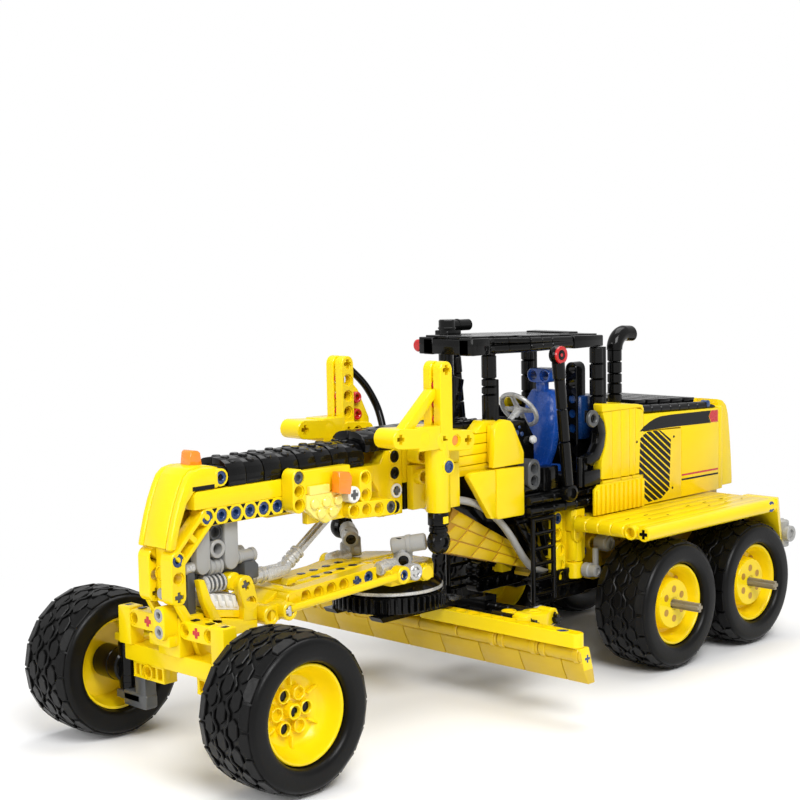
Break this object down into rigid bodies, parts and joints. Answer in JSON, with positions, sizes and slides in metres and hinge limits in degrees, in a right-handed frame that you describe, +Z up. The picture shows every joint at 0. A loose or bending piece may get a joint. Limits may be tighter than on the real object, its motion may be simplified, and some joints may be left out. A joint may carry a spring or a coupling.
{
  "type": "toy motor grader",
  "caption": "Yellow and black toy motor grader built from pinned beams, with an arched neck, open cab, ring-mounted blade, steered front wheels and paired rear wheels.",
  "frame": {"origin": "on the floor under the middle of the toy's bounding box", "axes": "+X forward towards the nose, +Y to the toy's left, +Z up"},
  "size_m": [0.4204, 0.208, 0.185],
  "materials": {
    "yellow_plastic": "glossy moulded plastic",
    "black_plastic": "glossy moulded plastic",
    "grey_plastic": "light grey moulded plastic",
    "silver_plastic": "silver grey moulded plastic",
    "tan_plastic": "dark tan moulded plastic",
    "amber_plastic": "clear amber plastic",
    "blue_plastic": "glossy moulded plastic",
    "tyre_rubber": "soft black rubber"
  },
  "bodies": {
    "chassis": {"neck_beams": "yellow_plastic", "nose_panel": "yellow_plastic", "neck_cover": "black_plastic", "lamp_brackets": "yellow_plastic", "amber_lamps": "amber_plastic", "neck_stack": "yellow_plastic", "frame_core": "black_plastic", "slope_plates": "yellow_plastic", "lift_saddles": "yellow_plastic", "lift_tower_left": "yellow_plastic", "lift_tower_right": "yellow_plastic", "front_axle": "yellow_plastic", "front_gearbox": "grey_plastic", "drive_shaft": "grey_plastic", "cowl_panels": "yellow_plastic", "cab_floor": "black_plastic", "cab_posts": "black_plastic", "cab_roof": "black_plastic", "roof_lamp": "black_plastic", "seat": "blue_plastic", "steering_wheel": "silver_plastic", "ladders": "black_plastic", "rear_columns": "yellow_plastic", "rear_chassis": "black_plastic", "tandem_beams": "black_plastic", "decks": "yellow_plastic", "rear_lamps": "grey_plastic", "louvre_block": "yellow_plastic", "hood": "yellow_plastic", "hood_grille": "black_plastic", "exhaust": "black_plastic", "black_hose": "black_plastic", "grey_hose": "grey_plastic"},
    "knuckle_l": {"knuckle_left": "black_plastic"},
    "knuckle_r": {"knuckle_right": "black_plastic"},
    "wheel_front_left": {"tyre_front_left": "tyre_rubber", "rim_front_left": "yellow_plastic"},
    "wheel_front_right": {"tyre_front_right": "tyre_rubber", "rim_front_right": "yellow_plastic"},
    "wheel_rear_1_left": {"tyre_rear_1_left": "tyre_rubber", "rim_rear_1_left": "yellow_plastic", "axle_rear_1_left": "tan_plastic"},
    "wheel_rear_1_right": {"tyre_rear_1_right": "tyre_rubber", "rim_rear_1_right": "yellow_plastic", "axle_rear_1_right": "tan_plastic"},
    "wheel_rear_2_left": {"tyre_rear_2_left": "tyre_rubber", "rim_rear_2_left": "yellow_plastic", "axle_rear_2_left": "tan_plastic"},
    "wheel_rear_2_right": {"tyre_rear_2_right": "tyre_rubber", "rim_rear_2_right": "yellow_plastic", "axle_rear_2_right": "tan_plastic"},
    "drawbar_body": {"drawbar": "yellow_plastic", "lift_links": "grey_plastic", "ring_plate": "grey_plastic"},
    "circle": {"circle_ring": "black_plastic", "blade_hangers": "black_plastic"},
    "blade_body": {"blade": "yellow_plastic", "blade_rails": "black_plastic"},
    "lift_l": {"lift_rod_left": "black_plastic"},
    "lift_r": {"lift_rod_right": "black_plastic"}
  },
  "joints": [
    {"name": "steer_left", "type": "hinge", "parent": "chassis", "child": "knuckle_l", "pos_m": [0.17583, 0.044, 0.03435], "axis": [0, 0, 1], "range_deg": [-25, 25]},
    {"name": "steer_right", "type": "hinge", "parent": "chassis", "child": "knuckle_r", "pos_m": [0.17583, -0.044, 0.03435], "axis": [0, 0, 1], "range_deg": [-25, 25]},
    {"name": "roll_front_left", "type": "hinge", "parent": "knuckle_l", "child": "wheel_front_left", "pos_m": [0.17583, 0.064, 0.03435], "axis": [0, 1, 0], "continuous": true},
    {"name": "roll_front_right", "type": "hinge", "parent": "knuckle_r", "child": "wheel_front_right", "pos_m": [0.17583, -0.064, 0.03435], "axis": [0, 1, 0], "continuous": true},
    {"name": "roll_rear_1_left", "type": "hinge", "parent": "chassis", "child": "wheel_rear_1_left", "pos_m": [-0.08818, 0.06, 0.03435], "axis": [0, 1, 0], "continuous": true},
    {"name": "roll_rear_1_right", "type": "hinge", "parent": "chassis", "child": "wheel_rear_1_right", "pos_m": [-0.08818, -0.06, 0.03435], "axis": [0, 1, 0], "continuous": true},
    {"name": "roll_rear_2_left", "type": "hinge", "parent": "chassis", "child": "wheel_rear_2_left", "pos_m": [-0.16018, 0.06, 0.03435], "axis": [0, 1, 0], "continuous": true},
    {"name": "roll_rear_2_right", "type": "hinge", "parent": "chassis", "child": "wheel_rear_2_right", "pos_m": [-0.16018, -0.06, 0.03435], "axis": [0, 1, 0], "continuous": true},
    {"name": "drawbar_lift", "type": "hinge", "parent": "chassis", "child": "drawbar_body", "pos_m": [0.13983, 0, 0.06], "axis": [0, 1, 0], "range_deg": [-8, 3]},
    {"name": "circle_turn", "type": "hinge", "parent": "drawbar_body", "child": "circle", "pos_m": [0.05083, 0, 0.0563], "axis": [0, 0, 1], "range_deg": [-20, 20]},
    {"name": "blade_shift", "type": "slide", "parent": "circle", "child": "blade_body", "axis": [0, 1, 0], "range_m": [-0.016, 0.016]},
    {"name": "lift_left_slide", "type": "slide", "parent": "chassis", "child": "lift_l", "axis": [0, 0, 1], "range_m": [-0.0135, 0.0052]},
    {"name": "lift_right_slide", "type": "slide", "parent": "chassis", "child": "lift_r", "axis": [0, 0, 1], "range_m": [-0.0135, 0.0052]}
  ],
  "couplings": [
    {"joint": "steer_right", "follows": "steer_left", "ratio": 1},
    {"joint": "lift_left_slide", "follows": "drawbar_lift", "m_per_rad": 0.0895},
    {"joint": "lift_right_slide", "follows": "drawbar_lift", "m_per_rad": 0.0895}
  ]
}
